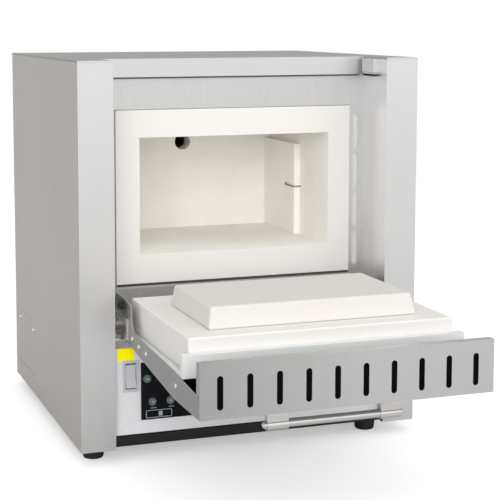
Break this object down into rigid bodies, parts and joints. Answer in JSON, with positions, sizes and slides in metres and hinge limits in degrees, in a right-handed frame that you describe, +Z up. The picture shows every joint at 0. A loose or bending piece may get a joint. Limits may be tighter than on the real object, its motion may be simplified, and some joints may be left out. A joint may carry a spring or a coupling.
{
  "type": "kiln",
  "caption": "Bench-top front-loading box kiln with an insulated chamber and a flap door that opens down level in front of it.",
  "frame": {"origin": "on the bench surface under the feet, at the centre of the body's footprint (the open door isn't counted)", "axes": "+Z up, +X to the right as seen from the front, +Y from the door side to the back"},
  "size_m": [0.3864, 0.6322, 0.424],
  "materials": {
    "housing_steel": "textured stainless, satin",
    "pillar_steel": "satin",
    "bright_steel": "polished",
    "inner_steel": "satin",
    "tray_metal": "satin",
    "fascia_paint": "satin",
    "hot_board": "rigid ceramic-fibre board, matte",
    "collar_board": "rigid ceramic-fibre board, matte",
    "backing": "ceramic-fibre backing, matte",
    "plate_ceramic": "fibre heating plate, matte",
    "wire_alloy": "oxidised, matte",
    "lead_alloy": "matte",
    "tube_ceramic": "matte",
    "black_rubber": "matte",
    "black_plastic": "matte",
    "window_plastic": "gloss",
    "key_plastic": "satin",
    "rocker_plastic": "satin",
    "yellow_plate": "satin",
    "light_plastic": "matte",
    "alloy_fins": "satin",
    "bush_brass": "satin"
  },
  "bodies": {
    "housing": {"base_pan": "inner_steel", "left_side_panel": "housing_steel", "right_side_panel": "housing_steel", "top_cover": "pillar_steel", "rear_panel": "housing_steel", "face_plate": "inner_steel", "bay_shelf": "inner_steel", "inner_casing": "inner_steel", "backing_floor": "backing", "backing_roof": "backing", "backing_sides": "backing", "backing_rear": "backing", "chamber_floor": "hot_board", "chamber_roof": "hot_board", "chamber_sides": "hot_board", "chamber_rear": "hot_board", "collar_top": "collar_board", "collar_bottom": "collar_board", "collar_sides": "collar_board", "heating_plates": "plate_ceramic", "heating_wires": "wire_alloy", "plate_staples": "wire_alloy", "element_leads": "lead_alloy", "exhaust_tube": "tube_ceramic", "exhaust_stack": "inner_steel", "thermocouple": "lead_alloy", "feet": "black_rubber", "access_cover": "housing_steel", "control_fascia": "fascia_paint", "controller_box": "black_plastic", "display_window": "window_plastic", "rocker_frame": "rocker_plastic", "marker_plate": "yellow_plate", "solid_state_relay": "black_plastic", "heat_sink": "alloy_fins", "terminal_block": "light_plastic", "contactor": "black_plastic", "mains_inlet": "black_plastic", "fuse_holders": "black_plastic", "hinge_pins": "bright_steel", "stop_pins": "inner_steel", "door_sensor": "light_plastic", "panel_screws": "bright_steel"},
    "door": {"door_pan": "pillar_steel", "vent_strip": "pillar_steel", "inner_tray": "tray_metal", "door_block": "collar_board", "door_plug": "hot_board", "lever_plates": "pillar_steel", "hinge_bushes": "bush_brass", "lever_bumpers": "black_rubber", "handle_bar": "bright_steel", "handle_brackets": "bright_steel", "door_rivets": "bright_steel"},
    "program_key": {"program_key": "key_plastic"},
    "down_key": {"down_key": "key_plastic"},
    "up_key": {"up_key": "key_plastic"},
    "mains_rocker": {"mains_rocker": "rocker_plastic"}
  },
  "joints": [
    {"name": "door_hinge", "type": "hinge", "parent": "housing", "child": "door", "pos_m": [0, -0.1515, 0.144], "axis": [-1, 0, 0], "range_deg": [0, 90]},
    {"name": "program_key_press", "type": "slide", "parent": "housing", "child": "program_key", "axis": [0, 1, 0], "range_m": [0, 0.0008], "stiffness_N_per_m": 400},
    {"name": "down_key_press", "type": "slide", "parent": "housing", "child": "down_key", "axis": [0, 1, 0], "range_m": [0, 0.0008], "stiffness_N_per_m": 400},
    {"name": "up_key_press", "type": "slide", "parent": "housing", "child": "up_key", "axis": [0, 1, 0], "range_m": [0, 0.0008], "stiffness_N_per_m": 400},
    {"name": "mains_rocker_tilt", "type": "hinge", "parent": "housing", "child": "mains_rocker", "pos_m": [-0.136, -0.1655, 0.09], "axis": [1, 0, 0], "range_deg": [0, 13]}
  ]
}
